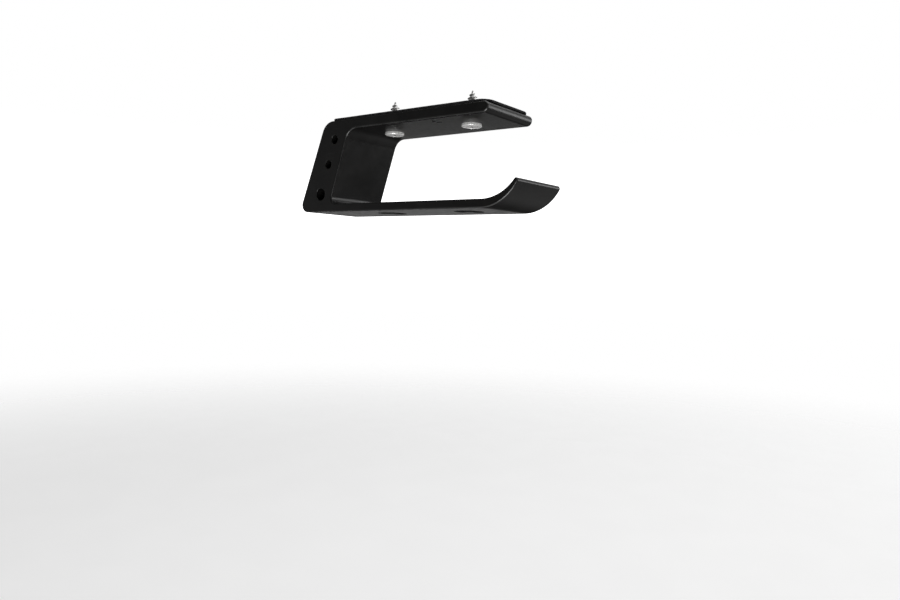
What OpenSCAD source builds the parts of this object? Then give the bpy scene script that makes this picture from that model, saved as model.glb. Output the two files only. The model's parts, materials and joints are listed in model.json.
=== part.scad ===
// Under-desk headphone hook: a rigid C-shaped hook screwed to the underside of a desk
// through a thin foam pad. The headband rests on the lower arm.
//
// Frame, in mm: the origin lies on the desk face, midway between the two screws.
// +Z points up into the desk, +X from the web towards the open tip, and Y runs across the
// hook's width.

/* [Hook width and plate] */
// Width of the hook across the headband
hook_width = 39.5; // [25:0.5:60]
// Thickness of the plate that sits under the desk
plate_thickness = 5.2; // [2.5:0.1:8]
// Distance from the screws' midpoint to the plate's rounded end
plate_end = 47.5; // [38:0.1:70]

/* [Web] */
// Distance from the screws' midpoint to the web's outer face, at the desk face
web_outer_offset = 57; // [45:0.1:80]
// How far the web's outer face leans out for each mm down
web_outer_lean = 0.4; // [0:0.005:0.6]
// Distance from the screws' midpoint to the web's inner face, at the desk face
web_inner_offset = 37.9; // [30:0.1:60]
// How far the web's inner face leans out for each mm down
web_inner_lean = 0.33; // [0:0.005:0.6]
// Radius of the outer corner between the plate and the web
shoulder_radius = 8.5; // [2:0.1:14]
// Radius of the inner corner between the plate and the web
throat_radius = 7.5; // [1:0.1:10]
// Radius of the outer corner between the web and the arm
heel_radius = 4; // [1:0.1:10]
// Radius of the inner corner between the web and the arm
seat_radius = 3; // [1:0.1:10]

/* [Arm and tip] */
// Depth of the arm's underside below the desk face
arm_depth = 49; // [35:0.1:80]
// Thickness of the arm
arm_thickness = 4.2; // [2.5:0.1:8]
// Distance from the screws' midpoint to where the tip starts to curl up
tip_start = 45; // [30:0.1:60]
// Outside radius of the tip's curl
tip_radius = 22; // [10:0.1:40]
// Angle through which the tip curls up from level
tip_curl_angle = 61.5; // [20:0.5:75]
// How far the curl's inner centre lies above its outer centre, which thins the tip
tip_thinning = 4.5; // [0:0.1:8]
// How much steeper the tip's flat end stands than square to the curl, in degrees
tip_end_slant = 38; // [0:1:50]

/* [Side holes in the web] */
// Diameters of the three holes across the web, from the top down
side_hole_diameters = [4.7, 4.6, 6.5]; // [2:0.1:9]
// Distances of the three holes from the screws' midpoint, from the top down
side_hole_offsets = [49.7, 54.2, 59.7]; // [40:0.1:75]
// Depths of the three holes below the desk face, from the top down
side_hole_depths = [11.1, 23.9, 39.6]; // [6:0.1:60]

/* [Screws] */
// Distance between the two screws
screw_spacing = 50; // [25:0.1:70]
// Diameter of the screw clearance holes in the plate and the pad
screw_hole_diameter = 5.6; // [3:0.1:9]
// Outside diameter of the screw's thread
thread_diameter = 5; // [3:0.1:8]
// Diameter of the plain neck under the screw's head
neck_diameter = 4.4; // [2:0.1:8]
// Length of the screw under its head
screw_length = 16; // [10:0.5:40]
// Length of the screw's pointed end
point_length = 3.4; // [1:0.1:8]
// Diameter of the screw's pan head
head_diameter = 10; // [6:0.1:16]
// Height of the screw's pan head
head_height = 2; // [1.5:0.1:6]
// Height of the straight rim of the pan head
head_rim_height = 1.4; // [0.3:0.1:3]
// Length of each bar of the cross recess
recess_length = 5.2; // [2:0.1:9]
// Width of each bar of the cross recess
recess_width = 1.1; // [0.5:0.1:3]
// Depth of the cross recess
recess_depth = 1.5; // [0.5:0.1:4]
// Diameter of the screwdriver access holes in the arm
access_hole_diameter = 15; // [8:0.1:20]

/* [Foam pad] */
// Thickness of the foam pad between the plate and the desk
pad_thickness = 1.2; // [0.5:0.1:4]
// How far the pad's long sides lie inside the plate's sides
pad_side_inset = 0.5; // [0:0.1:4]
// Distance from the screws' midpoint to the pad's end nearest the web
pad_web_end = 52; // [30:0.1:60]
// Distance from the screws' midpoint to the pad's end nearest the tip
pad_tip_end = 46.6; // [30:0.1:70]
// Plan radius of the pad's corners nearest the web
pad_web_corner_radius = 2; // [0.5:0.1:15]
// Plan radius of the pad's corners nearest the tip
pad_tip_corner_radius = 6; // [0.5:0.1:15]

/* [Hidden] */

$fn = 96;
cut_margin = 1;

plate_top = -pad_thickness;
plate_bottom = plate_top - plate_thickness;
plate_nose_radius = plate_thickness / 2;

arm_bottom = -arm_depth;
arm_top = arm_bottom + arm_thickness;

// The web's faces, as functions of height
function web_outer_x(z) = -web_outer_offset + web_outer_lean * z;
function web_inner_x(z) = -web_inner_offset + web_inner_lean * z;

// The corners of the side view, as [x, z]
shoulder = [web_outer_x(plate_top), plate_top];
heel = [web_outer_x(arm_bottom), arm_bottom];
seat = [web_inner_x(arm_top), arm_top];
throat = [web_inner_x(plate_bottom), plate_bottom];
tip_base = [tip_start, arm_bottom];
tip_base_top = [tip_start, arm_top];

// The tip's curl lies between two circles that both leave the arm smoothly
curl_centre = [tip_start, arm_bottom + tip_radius];
curl_inner_radius = tip_radius - arm_thickness + tip_thinning;
curl_inner_centre = curl_centre + [0, tip_thinning];

// The lower corner of the tip's flat end, and the way down along that end
tip_corner = curl_centre + tip_radius * [sin(tip_curl_angle), -cos(tip_curl_angle)];
tip_end_angle = tip_curl_angle - tip_end_slant;
tip_end_down = [sin(tip_end_angle), -cos(tip_end_angle)];

head_dome_drop = head_height - head_rim_height;
head_dome_radius = (pow(head_diameter / 2, 2) + pow(head_dome_drop, 2)) / (2 * head_dome_drop);
thread_top = plate_bottom + screw_length;

// What lies between corner v, its rays towards p and q, and the circle of radius r between
// them: taken off a sharp corner, or added into one, it leaves a smooth round. It runs a
// little past the corner, so that it overlaps what it joins or cuts. v, p and q run anticlockwise.
module corner_sliver(v, p, q, r) {
    a = (p - v) / norm(p - v);
    b = (q - v) / norm(q - v);
    inwards = (a + b) / norm(a + b);
    half_angle = acos(a * b) / 2;
    reach = r / tan(half_angle);
    centre = v + inwards * r / sin(half_angle);
    difference() {
        polygon([v - cut_margin * inwards, v + reach * a, centre, v + reach * b]);
        translate(centre)
            circle(r);
    }
}

// Side view of the plate, web and arm with sharp corners. The arm ends in a point inside
// the curl, so that the two overlap.
module sharp_profile() {
    inside_curl = (tip_base + tip_base_top) / 2 + [2 * cut_margin, 0];
    polygon([
        [plate_end - plate_nose_radius, plate_top],
        shoulder,
        heel,
        tip_base,
        inside_curl,
        tip_base_top,
        seat,
        throat,
        [plate_end - plate_nose_radius, plate_bottom]
    ]);
}

// Side view of the tip's curl
module curl_profile() {
    wedge_reach = 2 * tip_radius;
    difference() {
        intersection() {
            translate(curl_centre)
                circle(tip_radius);
            polygon([
                curl_centre,
                curl_centre - [0, wedge_reach],
                curl_centre + wedge_reach * [sin(tip_curl_angle / 2), -cos(tip_curl_angle / 2)],
                tip_corner + tip_radius * tip_end_down,
                tip_corner - tip_radius / 2 * tip_end_down
            ]);
        }
        translate(curl_inner_centre)
            circle(curl_inner_radius);
    }
}

// Side view of the whole hook, with its rounded corners and plate end
module hook_profile() {
    plate_end_top = [plate_end, plate_top];
    plate_end_bottom = [plate_end, plate_bottom];
    difference() {
        union() {
            sharp_profile();
            curl_profile();
            translate([plate_end - plate_nose_radius, (plate_top + plate_bottom) / 2])
                circle(plate_nose_radius);
            corner_sliver(throat, seat, plate_end_bottom, throat_radius);
            corner_sliver(seat, tip_base_top, throat, seat_radius);
        }
        corner_sliver(shoulder, heel, plate_end_top, shoulder_radius);
        corner_sliver(heel, tip_base, shoulder, heel_radius);
    }
}

// A round cutter along Z, on the hook's middle plane at x, from z_low to z_high
module hole_along_z(x, diameter, z_low, z_high) {
    translate([x, 0, z_low])
        cylinder(d = diameter, h = z_high - z_low);
}

// The rigid C-shaped body
module hook_body() {
    color([0.10, 0.10, 0.11])
    difference() {
        rotate([90, 0, 0])
            linear_extrude(height = hook_width, center = true)
                hook_profile();
        for (side = [-1, 1]) {
            hole_along_z(side * screw_spacing / 2, screw_hole_diameter,
                plate_bottom - cut_margin, plate_top + cut_margin);
            hole_along_z(side * screw_spacing / 2, access_hole_diameter,
                -arm_depth - arm_thickness, -arm_depth + 2 * arm_thickness);
        }
        for (i = [0 : len(side_hole_offsets) - 1])
            translate([-side_hole_offsets[i], 0, -side_hole_depths[i]])
                rotate([90, 0, 0])
                    cylinder(d = side_hole_diameters[i], h = hook_width + 2 * cut_margin,
                        center = true);
    }
}

// The thin pad between the plate and the desk
module foam_pad() {
    y = hook_width / 2 - pad_side_inset;
    web_low = [-pad_web_end, -y];
    tip_low = [pad_tip_end, -y];
    tip_high = [pad_tip_end, y];
    web_high = [-pad_web_end, y];
    color([0.16, 0.16, 0.17])
    difference() {
        translate([0, 0, -pad_thickness])
            linear_extrude(height = pad_thickness)
                difference() {
                    polygon([web_low, tip_low, tip_high, web_high]);
                    corner_sliver(web_low, tip_low, web_high, pad_web_corner_radius);
                    corner_sliver(tip_low, tip_high, web_low, pad_tip_corner_radius);
                    corner_sliver(tip_high, web_high, tip_low, pad_tip_corner_radius);
                    corner_sliver(web_high, web_low, tip_high, pad_web_corner_radius);
                }
        for (side = [-1, 1])
            hole_along_z(side * screw_spacing / 2, screw_hole_diameter,
                -pad_thickness - cut_margin, cut_margin);
    }
}

// One pan-head wood screw, its head under the plate and its point up in the desk
module screw(x) {
    color([0.78, 0.78, 0.76])
    translate([x, 0, 0])
    union() {
        difference() {
            translate([0, 0, plate_bottom])
                rotate([180, 0, 0])
                    rotate_extrude()
                        intersection() {
                            square([head_diameter / 2, head_height]);
                            translate([0, head_height - head_dome_radius])
                                circle(head_dome_radius);
                        }
            for (turn = [45, 135])
                translate([0, 0, plate_bottom - head_height])
                    rotate([0, 0, turn])
                        cube([recess_length, recess_width, 2 * recess_depth], center = true);
        }
        translate([0, 0, plate_bottom])
            cylinder(d = neck_diameter, h = -plate_bottom);
        cylinder(d = thread_diameter, h = thread_top - point_length);
        translate([0, 0, thread_top - point_length])
            cylinder(d1 = thread_diameter, d2 = 0.4, h = point_length);
    }
}

// The screw nearest the web
module web_side_screw() {
    screw(-screw_spacing / 2);
}

// The screw nearest the tip
module tip_side_screw() {
    screw(screw_spacing / 2);
}

hook_body();
foam_pad();
web_side_screw();
tip_side_screw();
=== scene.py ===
"""Under-desk headphone hook: the visible meshes, their materials, the studio and the camera.

Everything is in metres in the CAD's frame: the origin is on the desk face midway between the
two screws, +X points from the web towards the open tip, and +Z points up into the desk.
Sizes given in millimetres are turned into metres with MM.
"""

import json
import math

import bmesh
import bpy
from mathutils import Matrix, Vector, noise


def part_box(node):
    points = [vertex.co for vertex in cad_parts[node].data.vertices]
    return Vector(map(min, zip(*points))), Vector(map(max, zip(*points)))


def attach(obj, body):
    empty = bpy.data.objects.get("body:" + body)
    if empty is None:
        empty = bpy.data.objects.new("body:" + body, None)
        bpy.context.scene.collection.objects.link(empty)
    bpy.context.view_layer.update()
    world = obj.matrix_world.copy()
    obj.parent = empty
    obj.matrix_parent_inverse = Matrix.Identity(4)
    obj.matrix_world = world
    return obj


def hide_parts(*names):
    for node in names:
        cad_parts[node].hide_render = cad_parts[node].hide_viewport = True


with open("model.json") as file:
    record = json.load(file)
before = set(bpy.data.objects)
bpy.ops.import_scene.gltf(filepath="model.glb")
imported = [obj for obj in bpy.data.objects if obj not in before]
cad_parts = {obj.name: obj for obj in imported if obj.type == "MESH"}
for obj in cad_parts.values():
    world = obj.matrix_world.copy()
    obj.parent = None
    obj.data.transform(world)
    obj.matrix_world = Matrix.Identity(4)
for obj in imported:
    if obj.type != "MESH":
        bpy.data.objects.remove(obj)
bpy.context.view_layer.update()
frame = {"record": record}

MM = 0.001

# Camera: where it stands, how it is turned in radians, its lens and sensor in mm, and how near
# and how far it sees in metres
CAMERA_PLACE = Vector((225.84, -280.75, -73.26)) * MM
CAMERA_YAW = 0.6442
CAMERA_PITCH = -0.0559
CAMERA_ROLL = 0.0305
CAMERA_LENS = 28.0
CAMERA_SENSOR = 36.0
CAMERA_NEAR = 0.01
CAMERA_FAR = 20.0

# Side view of the hook in mm, x from the screws' midpoint and z from the desk face
PLATE_TOP = -1.2
PLATE_BOTTOM = -6.4
PLATE_END = 47.5
WEB_OUTER_OFFSET = 57.0
WEB_OUTER_LEAN = 0.4
WEB_INNER_OFFSET = 37.9
WEB_INNER_LEAN = 0.33
SHOULDER_RADIUS = 8.5
THROAT_RADIUS = 7.5
HEEL_RADIUS = 4.0
SEAT_RADIUS = 3.0
ARM_BOTTOM = -49.0
ARM_THICKNESS = 4.2
TIP_START = 45.0
TIP_RADIUS = 22.0
TIP_CURL_ANGLE = 61.5
TIP_THINNING = 4.5
TIP_END_SLANT = 38.0
TIP_CORNER_RADIUS = 0.9
# How far before the tip's upper corner its inner circle stops, in corner radii
TIP_INNER_STOP = 2.3

# Arcs: most degrees between two points, the fewest steps, and the distance in mm below which
# two points are one
ARC_STEP = 3.0
ARC_LEAST_STEPS = 3
SAME_POINT = 1e-4

# Rounded side edges in mm: the usual radius, the larger one along the plate's underside and
# how far from it that fades out
EDGE_RADIUS = 0.8
UNDERSIDE_EDGE_RADIUS = 1.2
UNDERSIDE_EDGE_FADE = 5.0
EDGE_STEPS = 6
# A corner's way in is at most one over this times as long as along a straight wall
CORNER_LIMIT = 0.5

# Holes in mm: x, z and radius of each that crosses the web, and the screw holes' radius
SIDE_HOLES = ((-49.7, -11.1, 2.35), (-54.2, -23.9, 2.3), (-59.7, -39.6, 3.25))
SCREW_HOLE_RADIUS = 2.8
HOLE_SEGMENTS = 64
# Radii that round the holes' mouths, the steps in that rounding, and how far a cutter stands out
SIDE_HOLE_MOUTH = 0.25
SCREW_HOLE_MOUTH = 0.2
ACCESS_HOLE_MOUTH = 0.4
HOLE_MOUTH_STEPS = 5
CUTTER_OVERSHOOT = 1.0

# Small nicks under the plate in mm: centre, half sizes, and turn about Z in degrees
MARKS = (
    ((12.4, -14.1, PLATE_BOTTOM), (0.8, 2.4, 1.6), 37),
    ((12.9, -10.5, PLATE_BOTTOM), (1.7, 1.0, 1.3), 30),
    ((-15.4, 19.5, PLATE_BOTTOM), (0.7, 0.35, 0.3), 10),
    ((-19.3, 19.55, PLATE_BOTTOM), (0.5, 0.3, 0.28), -15),
)
MARK_SEGMENTS = 16
MARK_RINGS = 10

# Edges that turn by more degrees than this stay sharp when shaded
HOOK_SHARP_ABOVE = 34
SCREW_SHARP_ABOVE = 32

# Screw in mm, measured from the underside of its head
HEAD_RADIUS = 5.0
HEAD_HEIGHT = 2.0
HEAD_RIM = 1.4
HEAD_ROUND = 0.5
SEAT_ROUND = 0.15
# Distance between the dome's rings and how many there are
DOME_STEP = 0.35
DOME_RINGS = 13
NECK_RADIUS = 2.2
NECK_ROUND = 0.1
CORE_RADIUS = 1.65
THREAD_RADIUS = 2.5
THREAD_FROM = 6.4
THREAD_PITCH = 1.8
THREAD_RUN_IN = 0.8
# Half of a thread's width as a share of the pitch, and how much its crest is flattened
THREAD_FLANK = 0.3
THREAD_CREST = 1.08
POINT_FROM = 12.6
SCREW_LENGTH = 16.0
# What is left of the radius at the point
POINT_SCALE = 0.08
SCREW_SEGMENTS = 56
# Cross recess: each wing's reach and half width, the share of the width that shrinks with the
# reach, the corner between two wings in half widths and how far it is cut back, the depth of
# the floor's middle, and the depth of each ring with the size of its wings
RECESS_REACH = 2.65
RECESS_HALF_WIDTH = 0.52
RECESS_TAPER = 0.4
RECESS_CORNER = 1.22
RECESS_CORNER_CUT = 0.86
RECESS_DEPTH = 1.5
RECESS_RINGS = ((-0.6, 1.12), (0.0, 1.0), (0.35, 0.93), (1.35, 0.66), (1.75, 0.38))
# How far each screw is turned in degrees
SCREW_TURNS = {"web_side_screw": 52.0, "tip_side_screw": 38.0}

# Foam pad in mm: its corners and edges, the size of a voxel, how far its skin rises and sinks,
# and the size of the skin's lumps and of its grain with the share of each
PAD_WEB_CORNER_RADIUS = 2.0
PAD_TIP_CORNER_RADIUS = 6.0
PAD_EDGE_RADIUS = 0.25
PAD_VOXEL = 0.36
PAD_ROUGHNESS = 0.05
PAD_LUMP = 2.2
PAD_LUMP_SHARE = 0.6
PAD_GRAIN = 0.6
PAD_GRAIN_SHARE = 0.4

# Floor in metres
FLOOR_HEIGHT = -0.36
FLOOR_RADIUS = 1.6
FLOOR_FADE_FROM = 0.55
FLOOR_SEGMENTS = 96
FLOOR_GLOW = 0.35

# Lights: name, place, what it points at, size in metres and power in watts
LIGHTS = (
    ("overhead_softbox", (0.1, 0.5, 1.2), (0, 0.2, 0), (1.6, 1.6), 13),
    ("front_low_softbox", (0.15, -0.25, -0.34), (0, 0, -0.02), (0.3, 0.2), 1.8),
    ("right_softbox", (0.9, 1.1, 0.25), (0, 0, -0.02), (1.0, 0.6), 3),
)

# The room's light, which adds up these sources. A source is a product of ramps. Each ramp
# follows one part of a direction, X, Y or Z, and holds the two parts between which it runs and
# its brightness at each.
WORLD_LIGHTS = (
    # From behind, brightest level with the hook and dim above it
    (("Y", -0.5, 0.5, 0, 1), ("Z", -0.13, -0.01, 0.02, 2.2), ("Z", 0.02, 0.28, 1.0, 0.07)),
    # From behind on the right, less at the far right
    (("Y", -0.5, 0.5, 0, 1), ("X", -0.4, 0.0, 0.0, 0.2), ("X", 0.4, 0.65, 1.0, 0.2)),
    # From straight below, less towards the back
    (("Z", -0.65, -0.9, 0.02, 1.2), ("Y", 0.3, 0.6, 1.0, 0.05)),
    # From the front, dimmer above and brighter at the far left
    (("Y", -0.5, 0.5, 1, 0), ("Z", 0.02, 0.3, 0.26, 0.12), ("X", -0.85, -0.5, 1.15, 0.3)),
)


# ---------------------------------------------------------------- outlines and meshes

def arc(centre, radius, start, end):
    """Points on a circle from angle start to angle end, in degrees, ends included."""
    steps = max(ARC_LEAST_STEPS, math.ceil(abs(end - start) / ARC_STEP))
    points = []
    for i in range(steps + 1):
        angle = math.radians(start + (end - start) * i / steps)
        points.append(Vector((centre[0] + radius * math.cos(angle),
                              centre[1] + radius * math.sin(angle))))
    return points


def from_angle(degrees):
    """The unit vector at an angle from the first axis."""
    return Vector((math.cos(math.radians(degrees)), math.sin(math.radians(degrees))))


def fillet(before, corner, after, radius):
    """The arc of that radius that rounds a corner between two straight lines."""
    before, corner, after = Vector(before), Vector(corner), Vector(after)
    a = (before - corner).normalized()
    b = (after - corner).normalized()
    half = a.angle(b) / 2
    centre = corner + (a + b).normalized() * radius / math.sin(half)
    start = corner + a * radius / math.tan(half) - centre
    end = corner + b * radius / math.tan(half) - centre
    start_angle = math.degrees(math.atan2(start.y, start.x))
    turn = math.degrees(math.atan2(end.y, end.x)) - start_angle
    turn = (turn + 180) % 360 - 180
    return arc(centre, radius, start_angle, start_angle + turn)


def web_outer(z):
    """The point of the web's outer face at a height."""
    return (-WEB_OUTER_OFFSET + WEB_OUTER_LEAN * z, z)


def web_inner(z):
    """The point of the web's inner face at a height."""
    return (-WEB_INNER_OFFSET + WEB_INNER_LEAN * z, z)


def hook_outline():
    """The hook's side view in mm, anticlockwise, starting under the plate's rounded end."""
    arm_top = ARM_BOTTOM + ARM_THICKNESS
    shoulder, heel = web_outer(PLATE_TOP), web_outer(ARM_BOTTOM)
    seat, throat = web_inner(arm_top), web_inner(PLATE_BOTTOM)

    nose = (PLATE_TOP - PLATE_BOTTOM) / 2
    nose_centre = (PLATE_END - nose, PLATE_BOTTOM + nose)

    curl_centre = Vector((TIP_START, ARM_BOTTOM + TIP_RADIUS))
    inner_centre = curl_centre + Vector((0, TIP_THINNING))
    inner_radius = TIP_RADIUS - ARM_THICKNESS + TIP_THINNING
    outer_angle = TIP_CURL_ANGLE - 90
    lower_corner = curl_centre + TIP_RADIUS * from_angle(outer_angle)
    end_up = -from_angle(outer_angle - TIP_END_SLANT)
    # The flat end meets the inner circle at the upper corner
    from_centre = lower_corner - inner_centre
    along = from_centre.dot(end_up)
    end_height = -along - math.sqrt(along ** 2 + inner_radius ** 2 - from_centre.length_squared)
    upper_corner = lower_corner + end_height * end_up
    inner_end = upper_corner - inner_centre
    inner_angle = math.degrees(math.atan2(inner_end.y, inner_end.x))
    # The circles stop where the rounded corners of the flat end begin
    outer_stop = outer_angle - math.degrees(TIP_CORNER_RADIUS / TIP_RADIUS)
    inner_stop = inner_angle - math.degrees(TIP_INNER_STOP * TIP_CORNER_RADIUS / inner_radius)
    before_lower = curl_centre + TIP_RADIUS * from_angle(outer_stop)
    before_upper = inner_centre + inner_radius * from_angle(inner_stop)

    parts = (
        arc(nose_centre, nose, -90, 90),
        fillet((0, PLATE_TOP), shoulder, heel, SHOULDER_RADIUS),
        fillet(shoulder, heel, (0, ARM_BOTTOM), HEEL_RADIUS),
        arc(curl_centre, TIP_RADIUS, -90, outer_stop),
        fillet(before_lower, lower_corner, upper_corner, TIP_CORNER_RADIUS),
        fillet(lower_corner, upper_corner, before_upper, TIP_CORNER_RADIUS),
        arc(inner_centre, inner_radius, inner_stop, -90),
        fillet((0, arm_top), seat, throat, SEAT_RADIUS),
        fillet(seat, throat, (0, PLATE_BOTTOM), THROAT_RADIUS),
    )
    points = []
    for part in parts:
        for p in part:
            if not points or (p - points[-1]).length > SAME_POINT:
                points.append(p)
    return points


def rounded_rectangle(low, high, low_x_radius, high_x_radius):
    """A rectangle whose corners are rounded, with one radius at each X end, anticlockwise."""
    x0, x1 = low[0] + low_x_radius, high[0] - high_x_radius
    return (arc((x1, low[1] + high_x_radius), high_x_radius, -90, 0)
            + arc((x1, high[1] - high_x_radius), high_x_radius, 0, 90)
            + arc((x0, high[1] - low_x_radius), low_x_radius, 90, 180)
            + arc((x0, low[1] + low_x_radius), low_x_radius, 180, 270))


def inward_normals(outline):
    """The way in at each point of an anticlockwise outline, longer at corners."""
    normals = []
    count = len(outline)
    for i, p in enumerate(outline):
        to_here = (p - outline[i - 1]).normalized()
        onwards = (outline[(i + 1) % count] - p).normalized()
        first = Vector((-to_here.y, to_here.x))
        second = Vector((-onwards.y, onwards.x))
        middle = (first + second).normalized()
        normals.append(middle / max(CORNER_LIMIT, middle.dot(first)))
    return normals


def rounded_prism(bm, outline, low, high, radii, place):
    """Adds a prism with quarter-round edges. place turns (point, height) into a position."""
    normals = inward_normals(outline)
    rings = []
    for side, level in ((-1, low), (1, high)):
        steps = range(EDGE_STEPS + 1)
        for k in steps if side < 0 else reversed(steps):
            angle = math.pi / 2 * k / EDGE_STEPS
            ring = []
            for p, n, r in zip(outline, normals, radii):
                at = p + n * r * (1 - math.sin(angle))
                height = level - side * r * (1 - math.cos(angle))
                ring.append(bm.verts.new(place(at, height)))
            rings.append(ring)
    count = len(outline)
    for a, b in zip(rings, rings[1:]):
        for i in range(count):
            j = (i + 1) % count
            bm.faces.new((a[i], a[j], b[j], b[i]))
    bm.faces.new(list(reversed(rings[0])))
    bm.faces.new(rings[-1])


def lathe(bm, profile, segments, matrix):
    """Adds a solid of revolution about Z. profile holds (radius, z) and ends on the axis."""
    rings = []
    for radius, z in profile:
        if radius == 0:
            rings.append([bm.verts.new(matrix @ Vector((0, 0, z)))])
            continue
        rings.append([
            bm.verts.new(matrix @ Vector((radius * math.cos(2 * math.pi * i / segments),
                                          radius * math.sin(2 * math.pi * i / segments), z)))
            for i in range(segments)
        ])
    join_rings(bm, rings, segments)


def join_rings(bm, rings, segments):
    """Faces between rings of points, which may start and end in a single point."""
    for a, b in zip(rings, rings[1:]):
        for i in range(segments):
            j = (i + 1) % segments
            corners = [a[i % len(a)], a[j % len(a)], b[j % len(b)], b[i % len(b)]]
            bm.faces.new(list(dict.fromkeys(corners)))


def hole_cutter(bm, radius, low, high, mouth, matrix):
    """Adds a cutter along Z for a hole whose two mouths are rounded."""
    quarter = [math.pi / 2 * k / HOLE_MOUTH_STEPS for k in range(HOLE_MOUTH_STEPS + 1)]
    bottom, top = low - CUTTER_OVERSHOOT, high + CUTTER_OVERSHOOT
    profile = [(0, bottom), (radius + mouth, bottom)]
    profile += [(radius + mouth * (1 - math.sin(a)), low + mouth * (1 - math.cos(a)))
                for a in quarter]
    profile += [(radius + mouth * (1 - math.sin(a)), high - mouth * (1 - math.cos(a)))
                for a in reversed(quarter)]
    profile += [(radius + mouth, top), (0, top)]
    lathe(bm, profile, HOLE_SEGMENTS, matrix)


def new_object(name, bm):
    """An object in the scene with bm's mesh, turned from mm to metres, outwards facing."""
    bmesh.ops.recalc_face_normals(bm, faces=bm.faces)
    bmesh.ops.scale(bm, vec=(MM, MM, MM), verts=bm.verts)
    mesh = bpy.data.meshes.new(name)
    bm.to_mesh(mesh)
    bm.free()
    obj = bpy.data.objects.new(name, mesh)
    bpy.context.scene.collection.objects.link(obj)
    return obj


def apply_modifiers(obj):
    """Puts what the object's modifiers make into its mesh, and takes the modifiers off."""
    graph = bpy.context.evaluated_depsgraph_get()
    made = bpy.data.meshes.new_from_object(obj.evaluated_get(graph))
    made.name = obj.name
    obj.modifiers.clear()
    obj.data = made


def cut(obj, cutter_bm):
    """Takes the cutters in cutter_bm out of the object."""
    cutter = new_object(obj.name + "_cutter", cutter_bm)
    boolean = obj.modifiers.new("cut", "BOOLEAN")
    boolean.operation = "DIFFERENCE"
    boolean.solver = "EXACT"
    boolean.object = cutter
    apply_modifiers(obj)
    bpy.data.objects.remove(cutter)


def shade(obj, sharp_above):
    """Smooth shading that keeps edges sharper than that many degrees, and flat faces flat."""
    obj.data.shade_smooth()
    obj.data.set_sharp_from_angle(angle=math.radians(sharp_above))
    weighted = obj.modifiers.new("weighted", "WEIGHTED_NORMAL")
    weighted.keep_sharp = True


# ---------------------------------------------------------------- node materials

# Places of a Mix node's colour sockets
MIX_FIRST = 6
MIX_SECOND = 7
MIX_RESULT = 2

# The middle of a noise's range, which clouds() stretches
NOISE_MIDDLE = (0.3, 0.7)


def feed(tree, value, socket):
    """Links another node's socket to this one, or gives it a plain value."""
    if isinstance(value, bpy.types.NodeSocket):
        tree.links.new(value, socket)
    elif value is not None:
        socket.default_value = value


def smooth_range(tree, value, low, high, at_low=0.0, at_high=1.0):
    """A value's way from low to high, turned into a smooth one from at_low to at_high."""
    node = tree.nodes.new("ShaderNodeMapRange")
    node.interpolation_type = "SMOOTHSTEP"
    feed(tree, value, node.inputs["Value"])
    for name, number in (("From Min", low), ("From Max", high),
                         ("To Min", at_low), ("To Max", at_high)):
        node.inputs[name].default_value = number
    return node.outputs["Result"]


def arithmetic(tree, operation, a, b=None):
    """One or two values put through a Math node."""
    node = tree.nodes.new("ShaderNodeMath")
    node.operation = operation
    feed(tree, a, node.inputs[0])
    feed(tree, b, node.inputs[1])
    return node.outputs[0]


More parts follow.
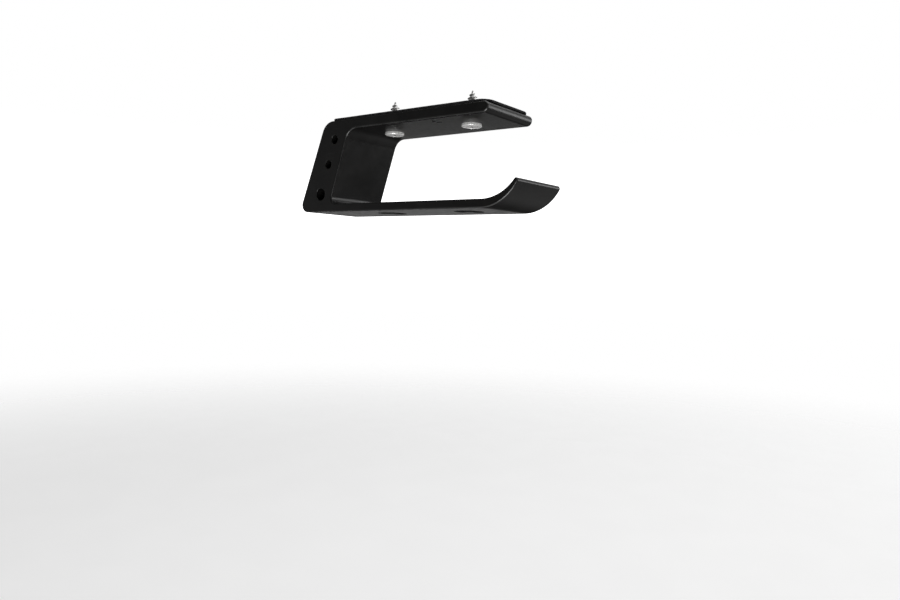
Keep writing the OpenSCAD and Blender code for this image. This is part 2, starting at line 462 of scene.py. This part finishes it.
class Paint:
    """A short way to build one node material around a Principled shader. Sizes are in mm."""

    def __init__(self, name):
        self.material = bpy.data.materials.new(name)
        self.material.use_nodes = True
        self.tree = self.material.node_tree
        self.shader = self.tree.nodes["Principled BSDF"]
        self.coords = self.tree.nodes.new("ShaderNodeTexCoord")

    def set(self, **sockets):
        """Sets the shader's own sockets to plain values."""
        for name, value in sockets.items():
            self.shader.inputs[name.replace("_", " ").title()].default_value = value

    def link(self, **sockets):
        """Links values that change over the surface to the shader's sockets."""
        for name, value in sockets.items():
            self.tree.links.new(value, self.shader.inputs[name.replace("_", " ").title()])

    def position(self, scale, turn):
        """Object coordinates, scaled and turned by degrees."""
        node = self.tree.nodes.new("ShaderNodeMapping")
        self.tree.links.new(self.coords.outputs["Object"], node.inputs["Vector"])
        node.inputs["Scale"].default_value = scale
        node.inputs["Rotation"].default_value = [math.radians(a) for a in turn]
        return node.outputs["Vector"]

    def noise(self, size, detail, vector=None):
        """Noise whose lumps are about that size."""
        node = self.tree.nodes.new("ShaderNodeTexNoise")
        feed(self.tree, vector or self.coords.outputs["Object"], node.inputs["Vector"])
        node.inputs["Scale"].default_value = 1 / (size * MM)
        node.inputs["Detail"].default_value = detail
        return node.outputs["Fac"]

    def clouds(self, size, detail, low=0.0, high=1.0):
        """Noise stretched so that it runs from low to high."""
        return self.remap(self.noise(size, detail), *NOISE_MIDDLE, low, high)

    def cells(self, size):
        """Voronoi cells of about that size."""
        node = self.tree.nodes.new("ShaderNodeTexVoronoi")
        feed(self.tree, self.coords.outputs["Object"], node.inputs["Vector"])
        node.inputs["Scale"].default_value = 1 / (size * MM)
        return node.outputs["Distance"]

    def remap(self, value, *ramp):
        """A value put through a smooth ramp."""
        return smooth_range(self.tree, value, *ramp)

    def math(self, operation, a, b=None):
        """One or two values put through a Math node."""
        return arithmetic(self.tree, operation, a, b)

    def mix(self, factor, first, second):
        """One colour where the factor is 0 and another where it is 1."""
        node = self.tree.nodes.new("ShaderNodeMix")
        node.data_type = "RGBA"
        feed(self.tree, factor, node.inputs["Factor"])
        feed(self.tree, first, node.inputs[MIX_FIRST])
        feed(self.tree, second, node.inputs[MIX_SECOND])
        return node.outputs[MIX_RESULT]

    def split(self, vector):
        """A vector's X, Y and Z."""
        node = self.tree.nodes.new("ShaderNodeSeparateXYZ")
        self.tree.links.new(vector, node.inputs[0])
        return node.outputs

    def from_axis(self, where):
        """How far a point, given as its X, Y and Z, lies from the Z axis."""
        squares = [self.math("MULTIPLY", where[axis], where[axis]) for axis in "XY"]
        return self.math("SQRT", self.math("ADD", *squares))

    def bump(self, height, depth, strength, below=None):
        """A bump of that depth, on top of an earlier one."""
        node = self.tree.nodes.new("ShaderNodeBump")
        node.inputs["Distance"].default_value = depth * MM
        node.inputs["Strength"].default_value = strength
        feed(self.tree, height, node.inputs["Height"])
        if below is not None:
            self.tree.links.new(below, node.inputs["Normal"])
        return node.outputs["Normal"]


def grey(value, tint=(1, 1, 1)):
    """A colour of that brightness, slightly tinted."""
    return (value * tint[0], value * tint[1], value * tint[2], 1)


# Colours of each material's dark and light clouds, then of what lies over them and how much
# of it shows
PLASTIC_DARK = grey(0.0045, (1.04, 1.0, 0.97))
PLASTIC_LIGHT = grey(0.0075, (1.05, 1.0, 0.96))
SCUFF_COLOUR = grey(0.045)
SCUFF_SHARE = 0.35
RUBBED_COLOUR = grey(0.06)
RUBBED_SHARE = 0.4
FOAM_DARK = grey(0.012)
FOAM_LIGHT = grey(0.022, (1.0, 1.0, 1.03))
PORE_COLOUR = grey(0.006)
ZINC_DARK = grey(0.9, (1.0, 0.99, 0.97))
ZINC_LIGHT = grey(0.97, (1.0, 1.0, 0.99))
# Painted shade: the dark colour that stands in for the shade inside the screws' cross recess,
# and how much of it shows
RECESS_SHADE_COLOUR = grey(0.03, (1.0, 0.97, 0.92))
RECESS_SHADE_SHARE = 0.95
FLOOR_DARK = grey(0.78)
FLOOR_LIGHT = grey(0.80)

# Roughness: the least and the most of it, and how much the clouds, the scuffs, the rubbed edges
# and the recess change it
PLASTIC_ROUGHNESS = (0.29, 0.33)
SCUFF_ROUGHNESS = 0.08
CLOUD_ROUGHNESS = 0.02
RUBBED_ROUGHNESS = 0.08
FOAM_ROUGHNESS = (0.82, 0.95)
ZINC_ROUGHNESS = (0.24, 0.36)
RECESS_ROUGHNESS = 0.25
FLOOR_ROUGHNESS = 0.9

# Reflection of the plastic, the foam and the zinc
PLASTIC_SPECULAR = 0.42
PLASTIC_IOR = 1.48
FOAM_SPECULAR = 0.25
ZINC_METALLIC = 0.35

# Ramps for the plastic. A rubbed edge lies between the hook's faces and its flat sides, which
# the Y part of the normal tells apart. The others follow noise.
EDGE_NOT_FACE = (0.12, 0.45)
EDGE_NOT_SIDE = (0.80, 0.99, 1.0, 0.0)
RUBBED_PATCHES = (0.35, 0.75, 0.25, 1.0)
SCUFF_LINES = (0.60, 0.72)
SCUFF_PATCHES = (0.45, 0.7)
# Scale and turn in degrees that draw noise out into scuffs along the hook
SCUFF_SCALE = (0.06, 1.4, 1.4)
SCUFF_TURN = (4, 6, 9)

# Ramps for the foam's pores
PORES = (0.12, 0.5)
FINE_PORES = (0.1, 0.5)

# Ramps in mm for the painted shade in a screw's recess: distance from the axis, height, and
# depth below the head's dome
RECESS_WITHIN = (3.2, 2.9)
RECESS_BELOW = (-0.4, -0.6)
RECESS_UNDER_DOME = (0.1, 0.5)


def satin_black_plastic():
    """Moulded black plastic: fine grain, slow gloss changes, scuffs and rubbed edges."""
    paint = Paint("satin_black_plastic")
    side = paint.math("ABSOLUTE", paint.split(paint.coords.outputs["Normal"])["Y"])
    on_edge = paint.math("MULTIPLY", paint.remap(side, *EDGE_NOT_FACE),
                         paint.remap(side, *EDGE_NOT_SIDE))
    patchy = paint.remap(paint.noise(size=3.0, detail=4.0), *RUBBED_PATCHES)
    rubbed = paint.math("MULTIPLY", on_edge, patchy)
    lines = paint.noise(size=1.0, detail=3.0, vector=paint.position(SCUFF_SCALE, SCUFF_TURN))
    patches = paint.remap(paint.noise(size=14.0, detail=2.0), *SCUFF_PATCHES)
    scuffed = paint.math("MULTIPLY", paint.remap(lines, *SCUFF_LINES), patches)
    cloudy = paint.clouds(size=9.0, detail=3.0)

    colour = paint.mix(cloudy, PLASTIC_DARK, PLASTIC_LIGHT)
    colour = paint.mix(paint.math("MULTIPLY", scuffed, SCUFF_SHARE), colour, SCUFF_COLOUR)
    colour = paint.mix(paint.math("MULTIPLY", rubbed, RUBBED_SHARE), colour, RUBBED_COLOUR)

    rough = paint.clouds(2.2, 2.0, *PLASTIC_ROUGHNESS)
    rough = paint.math("ADD", rough, paint.math("MULTIPLY", scuffed, SCUFF_ROUGHNESS))
    rough = paint.math("ADD", rough, paint.math("MULTIPLY", cloudy, CLOUD_ROUGHNESS))
    rough = paint.math("SUBTRACT", rough, paint.math("MULTIPLY", rubbed, RUBBED_ROUGHNESS))

    normal = paint.bump(paint.noise(size=18.0, detail=1.0), depth=0.12, strength=0.5)
    normal = paint.bump(paint.noise(size=0.22, detail=1.0), depth=0.002, strength=0.12,
                        below=normal)
    normal = paint.bump(scuffed, depth=0.006, strength=0.5, below=normal)
    paint.link(base_color=colour, roughness=rough, normal=normal)
    paint.shader.inputs["Specular IOR Level"].default_value = PLASTIC_SPECULAR
    paint.shader.inputs["IOR"].default_value = PLASTIC_IOR
    return paint.material


def closed_cell_foam():
    """Black closed-cell foam: small pores of two sizes, soft mottling, no gloss."""
    paint = Paint("closed_cell_foam")
    pores = paint.remap(paint.cells(size=0.45), *PORES)
    fine_pores = paint.remap(paint.cells(size=0.18), *FINE_PORES)
    colour = paint.mix(paint.clouds(size=4.0, detail=3.0), FOAM_DARK, FOAM_LIGHT)
    colour = paint.mix(pores, PORE_COLOUR, colour)
    normal = paint.bump(pores, depth=0.07, strength=0.8)
    normal = paint.bump(fine_pores, depth=0.03, strength=0.6, below=normal)
    rough = paint.clouds(0.8, 2.0, *FOAM_ROUGHNESS)
    paint.link(base_color=colour, roughness=rough, normal=normal)
    paint.shader.inputs["Specular IOR Level"].default_value = FOAM_SPECULAR
    return paint.material


def zinc_plate():
    """Bright zinc plate: faint grain and stamping marks, rough in the recess, with shade painted
    dark there.
    """
    paint = Paint("zinc_plate")
    where = paint.split(paint.coords.outputs["Object"])
    distance = paint.from_axis(where)
    dome = paint.math("MULTIPLY", paint.math("MULTIPLY", distance, distance),
                      1 / (2 * head_dome_radius() * MM))
    depth = paint.math("SUBTRACT", paint.math("ADD", where["Z"], HEAD_HEIGHT * MM), dome)
    within, below, under_dome = (
        paint.remap(value, *(limit * MM for limit in limits))
        for value, limits in ((distance, RECESS_WITHIN), (where["Z"], RECESS_BELOW),
                              (depth, RECESS_UNDER_DOME)))
    # Where the recess lies: there shade is painted in as a dark colour, and the zinc is rougher
    recess_shade_mask = paint.math("MULTIPLY", under_dome, paint.math("MULTIPLY", within, below))

    colour = paint.mix(paint.clouds(size=1.6, detail=4.0), ZINC_DARK, ZINC_LIGHT)
    colour = paint.mix(paint.math("MULTIPLY", recess_shade_mask, RECESS_SHADE_SHARE), colour, RECESS_SHADE_COLOUR)
    rough = paint.clouds(0.7, 4.0, *ZINC_ROUGHNESS)
    rough = paint.math("ADD", rough, paint.math("MULTIPLY", recess_shade_mask, RECESS_ROUGHNESS))
    normal = paint.bump(paint.noise(size=0.8, detail=3.0), depth=0.006, strength=0.4)
    normal = paint.bump(paint.noise(size=0.12, detail=2.0), depth=0.003, strength=0.3,
                        below=normal)
    paint.link(base_color=colour, roughness=rough, normal=normal)
    paint.set(metallic=ZINC_METALLIC)
    return paint.material


def pale_floor():
    """Matt pale floor that glows a little and fades out towards its rim."""
    paint = Paint("pale_floor")
    colour = paint.mix(paint.clouds(size=60.0, detail=3.0), FLOOR_DARK, FLOOR_LIGHT)
    distance = paint.from_axis(paint.split(paint.coords.outputs["Object"]))
    fade = paint.remap(distance, FLOOR_FADE_FROM, FLOOR_RADIUS, 1.0, 0.0)
    paint.link(base_color=colour, alpha=fade)
    paint.set(roughness=FLOOR_ROUGHNESS, emission_strength=FLOOR_GLOW)
    return paint.material


# ---------------------------------------------------------------- the pieces

def in_plan(point, height):
    """A point of the plan at a height along Z."""
    return Vector((point.x, point.y, height))


def flat_to_width(point, height):
    """A point of the side view at a height across the hook's width, along Y."""
    return Vector((point.x, -height, point.y))


def edge_radius(point):
    """The radius of the hook's side edge at a point of its side view."""
    near = max(0, 1 - abs(point.y - PLATE_BOTTOM) / UNDERSIDE_EDGE_FADE)
    return EDGE_RADIUS + (UNDERSIDE_EDGE_RADIUS - EDGE_RADIUS) * near


def add_mark(bm, centre, half_sizes, turn):
    """Adds a flattened ball that cuts a shallow mark."""
    matrix = (Matrix.Translation(centre) @ Matrix.Rotation(math.radians(turn), 4, "Z")
              @ Matrix.Diagonal((*half_sizes, 1)))
    bmesh.ops.create_uvsphere(bm, u_segments=MARK_SEGMENTS, v_segments=MARK_RINGS, radius=1,
                              matrix=matrix)


def screw_places():
    """The x of each screw in mm, from the CAD."""
    places = {}
    for name in SCREW_TURNS:
        low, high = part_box(name)
        places[name] = (low.x + high.x) / 2 / MM
    return places


def access_hole_radius():
    """The radius of the arm's access holes in mm, from the record."""
    for mount in frame["record"]["mounts"]:
        if mount["name"] == "access_holes":
            return mount["dims"]["hole_r_mm"]


def make_hook():
    """The hook's one moulded piece, with its holes and nicks cut in one go."""
    low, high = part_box("hook_body")
    outline = hook_outline()
    bm = bmesh.new()
    rounded_prism(bm, outline, low.y / MM, high.y / MM,
                  [edge_radius(p) for p in outline], flat_to_width)
    hook = new_object("moulded_hook", bm)

    cutters = bmesh.new()
    for x, z, radius in SIDE_HOLES:
        across = Matrix.Translation((x, 0, z)) @ Matrix.Rotation(math.pi / 2, 4, "X")
        hole_cutter(cutters, radius, low.y / MM, high.y / MM, SIDE_HOLE_MOUTH, across)
    for x in screw_places().values():
        upright = Matrix.Translation((x, 0, 0))
        hole_cutter(cutters, SCREW_HOLE_RADIUS, PLATE_BOTTOM, PLATE_TOP,
                    SCREW_HOLE_MOUTH, upright)
        hole_cutter(cutters, access_hole_radius(), ARM_BOTTOM, ARM_BOTTOM + ARM_THICKNESS,
                    ACCESS_HOLE_MOUTH, upright)
    for mark in MARKS:
        add_mark(cutters, *mark)
    cut(hook, cutters)
    shade(hook, HOOK_SHARP_ABOVE)
    hook.data.materials.append(satin_black_plastic())
    return hook


def head_dome_radius():
    """The radius of the ball that the head's dome is a part of."""
    drop = HEAD_HEIGHT - HEAD_RIM
    return (HEAD_RADIUS ** 2 + drop ** 2) / (2 * drop)


def dome_height(radius):
    """The height of the head's dome at a distance from the screw's axis."""
    dome = head_dome_radius()
    return -HEAD_HEIGHT + dome - math.sqrt(dome ** 2 - radius ** 2)


def head_profile():
    """Pan head from the middle of its dome to its neck, as (radius, z) with the seat at z 0."""
    profile = [(i * DOME_STEP, dome_height(i * DOME_STEP)) for i in range(DOME_RINGS)]
    before = Vector(profile[-1])
    rim = Vector((HEAD_RADIUS, dome_height(HEAD_RADIUS)))
    seat = Vector((HEAD_RADIUS, 0))
    # Every third and every sixth of an arc's points are enough for arcs this small
    profile += [tuple(p) for p in fillet(before, rim, seat, HEAD_ROUND)[::3]]
    profile += [tuple(p) for p in fillet(rim, seat, (0, 0), SEAT_ROUND)[::6]]
    profile += [(NECK_RADIUS + NECK_ROUND, 0), (NECK_RADIUS, NECK_ROUND)]
    return profile


def thread_radius(turn, z):
    """Radius of the threaded shank at a share of a turn and a height."""
    phase = ((z - THREAD_FROM) / THREAD_PITCH - turn) % 1
    tooth = max(0, 1 - abs(phase - 0.5) / THREAD_FLANK)
    run_in = min(1, max(0, (z - THREAD_FROM) / THREAD_RUN_IN))
    core = NECK_RADIUS + (CORE_RADIUS - NECK_RADIUS) * run_in
    outer = core + (THREAD_RADIUS - core) * run_in
    radius = core + (outer - core) * min(1, tooth * THREAD_CREST)
    point = max(0, (z - POINT_FROM) / (SCREW_LENGTH - POINT_FROM))
    return radius * (1 - (1 - POINT_SCALE) * point)


def recess_cutter(bm, turn):
    """A cross-shaped driver bit whose wings get shorter and thinner with depth."""
    rings = []
    for depth, scale in RECESS_RINGS:
        reach = RECESS_REACH * scale
        half = RECESS_HALF_WIDTH * (1 - RECESS_TAPER + RECESS_TAPER * scale)
        corner = half * RECESS_CORNER
        cut_back = corner * RECESS_CORNER_CUT
        quarter = [(reach, -half), (reach, half), (corner, half), (cut_back, cut_back),
                   (half, corner)]
        ring = []
        for step in range(4):
            spin = Matrix.Rotation(math.radians(turn) + step * math.pi / 2, 2)
            for p in quarter:
                x, y = spin @ Vector(p)
                ring.append(bm.verts.new((x, y, depth - HEAD_HEIGHT)))
        rings.append(ring)
    rings.append([bm.verts.new((0, 0, RECESS_DEPTH - HEAD_HEIGHT))])
    join_rings(bm, rings, len(rings[0]))
    bm.faces.new(rings[0])


def make_screw(node, x, material):
    """One pan-head wood screw. Its object sits on its axis at the plate's underside."""
    bm = bmesh.new()
    profile = head_profile()
    count = SCREW_SEGMENTS
    circle = [2 * math.pi * i / count for i in range(count)]

    def ring(radii, z):
        """Points all round at one height, each at its own radius."""
        return [bm.verts.new((radius * math.cos(a), radius * math.sin(a), z))
                for radius, a in zip(radii, circle)]

    rings = [[bm.verts.new((0, 0, profile[0][1]))]]
    rings += [ring([radius] * count, z) for radius, z in profile[1:]]
    step = THREAD_PITCH / count
    z = THREAD_FROM
    while z < SCREW_LENGTH - step:
        rings.append(ring([thread_radius(i / count, z) for i in range(count)], z))
        z += step
    rings.append([bm.verts.new((0, 0, SCREW_LENGTH))])
    join_rings(bm, rings, count)
    screw = new_object(node + "_part", bm)
    cutter = bmesh.new()
    recess_cutter(cutter, SCREW_TURNS[node])
    cut(screw, cutter)
    shade(screw, SCREW_SHARP_ABOVE)
    screw.location = (x * MM, 0, PLATE_BOTTOM * MM)
    screw.data.materials.append(material)
    return screw


def make_pad():
    """The foam sheet, with an uneven skin and soft edges."""
    low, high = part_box("foam_pad")
    low, high = low / MM, high / MM
    outline = rounded_rectangle(low, high, PAD_WEB_CORNER_RADIUS, PAD_TIP_CORNER_RADIUS)
    bm = bmesh.new()
    rounded_prism(bm, outline, low.z, high.z, [PAD_EDGE_RADIUS] * len(outline), in_plan)
    pad = new_object("foam_sheet", bm)
    cutters = bmesh.new()
    for x in screw_places().values():
        hole_cutter(cutters, SCREW_HOLE_RADIUS, low.z, high.z, SCREW_HOLE_MOUTH,
                    Matrix.Translation((x, 0, 0)))
    cut(pad, cutters)
    remesh = pad.modifiers.new("remesh", "REMESH")
    remesh.mode = "VOXEL"
    remesh.voxel_size = PAD_VOXEL * MM
    apply_modifiers(pad)
    normals = [n.vector.copy() for n in pad.data.vertex_normals]
    # No point leaves the CAD's box
    places = []
    for vertex, normal in zip(pad.data.vertices, normals):
        at = vertex.co / MM
        rise = (noise.noise(at / PAD_LUMP) * PAD_LUMP_SHARE
                + noise.noise(at / PAD_GRAIN) * PAD_GRAIN_SHARE)
        at += normal * rise * PAD_ROUGHNESS
        places += [min(h, max(l, a)) * MM for a, l, h in zip(at, low, high)]
    pad.data.vertices.foreach_set("co", places)
    pad.data.update()
    pad.data.shade_smooth()
    pad.data.materials.append(closed_cell_foam())
    return pad


hook = make_hook()
zinc = zinc_plate()
screws = {node: make_screw(node, x, zinc) for node, x in screw_places().items()}
pad = make_pad()

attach(hook, "root")
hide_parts("hook_body")
for node, screw in screws.items():
    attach(screw, "root")
    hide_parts(node)
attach(pad, "root")
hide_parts("foam_pad")


# ---------------------------------------------------------------- studio

def add_area_light(name, place, target, size, power):
    """A soft light that the camera doesn't see."""
    light = bpy.data.lights.new(name, "AREA")
    light.shape = "RECTANGLE"
    light.size, light.size_y = size
    light.energy = power
    obj = bpy.data.objects.new(name, light)
    obj.location = place
    obj.rotation_euler = (Vector(target) - Vector(place)).to_track_quat("-Z", "Y").to_euler()
    obj.visible_camera = False
    bpy.context.scene.collection.objects.link(obj)


def make_floor():
    """A round floor under the hook, which lights and mirrors nothing."""
    bm = bmesh.new()
    bmesh.ops.create_circle(bm, cap_ends=True, segments=FLOOR_SEGMENTS,
                            radius=FLOOR_RADIUS / MM)
    floor = new_object("studio_floor", bm)
    floor.location.z = FLOOR_HEIGHT
    floor.data.materials.append(pale_floor())
    floor.visible_glossy = False
    floor.visible_diffuse = False


def make_world():
    """A plain room: white for the camera, and as light what WORLD_LIGHTS says."""
    world = bpy.data.worlds.new("studio")
    world.use_nodes = True
    tree = world.node_tree
    background = tree.nodes["Background"]
    coords = tree.nodes.new("ShaderNodeTexCoord")
    split = tree.nodes.new("ShaderNodeSeparateXYZ")
    tree.links.new(coords.outputs["Generated"], split.inputs[0])
    total = None
    for ramps in WORLD_LIGHTS:
        light = None
        for axis, *ramp in ramps:
            value = smooth_range(tree, split.outputs[axis], *ramp)
            light = value if light is None else arithmetic(tree, "MULTIPLY", light, value)
        total = light if total is None else arithmetic(tree, "ADD", total, light)
    path = tree.nodes.new("ShaderNodeLightPath")
    seen = arithmetic(tree, "MAXIMUM", total, path.outputs["Is Camera Ray"])
    background.inputs["Color"].default_value = (1, 1, 1, 1)
    tree.links.new(seen, background.inputs["Strength"])
    bpy.context.scene.world = world


def make_camera():
    """The camera at the photograph's viewing angle."""
    forward = Vector((-math.sin(CAMERA_YAW) * math.cos(CAMERA_PITCH),
                      math.cos(CAMERA_YAW) * math.cos(CAMERA_PITCH), math.sin(CAMERA_PITCH)))
    level = Vector((math.cos(CAMERA_YAW), math.sin(CAMERA_YAW), 0))
    upright = level.cross(forward)
    right = math.cos(CAMERA_ROLL) * level + math.sin(CAMERA_ROLL) * upright
    up = math.cos(CAMERA_ROLL) * upright - math.sin(CAMERA_ROLL) * level
    data = bpy.data.cameras.new("camera")
    data.sensor_width = CAMERA_SENSOR
    data.lens = CAMERA_LENS
    data.clip_start = CAMERA_NEAR
    data.clip_end = CAMERA_FAR
    camera = bpy.data.objects.new("camera", data)
    turn = Matrix((right, up, -forward)).transposed()
    camera.matrix_world = Matrix.Translation(CAMERA_PLACE) @ turn.to_4x4()
    bpy.context.scene.collection.objects.link(camera)
    bpy.context.scene.camera = camera


make_floor()
make_world()
make_camera()
for light in LIGHTS:
    add_area_light(*light)
bpy.context.scene.view_settings.view_transform = "Standard"
bpy.context.scene.view_settings.look = "None"
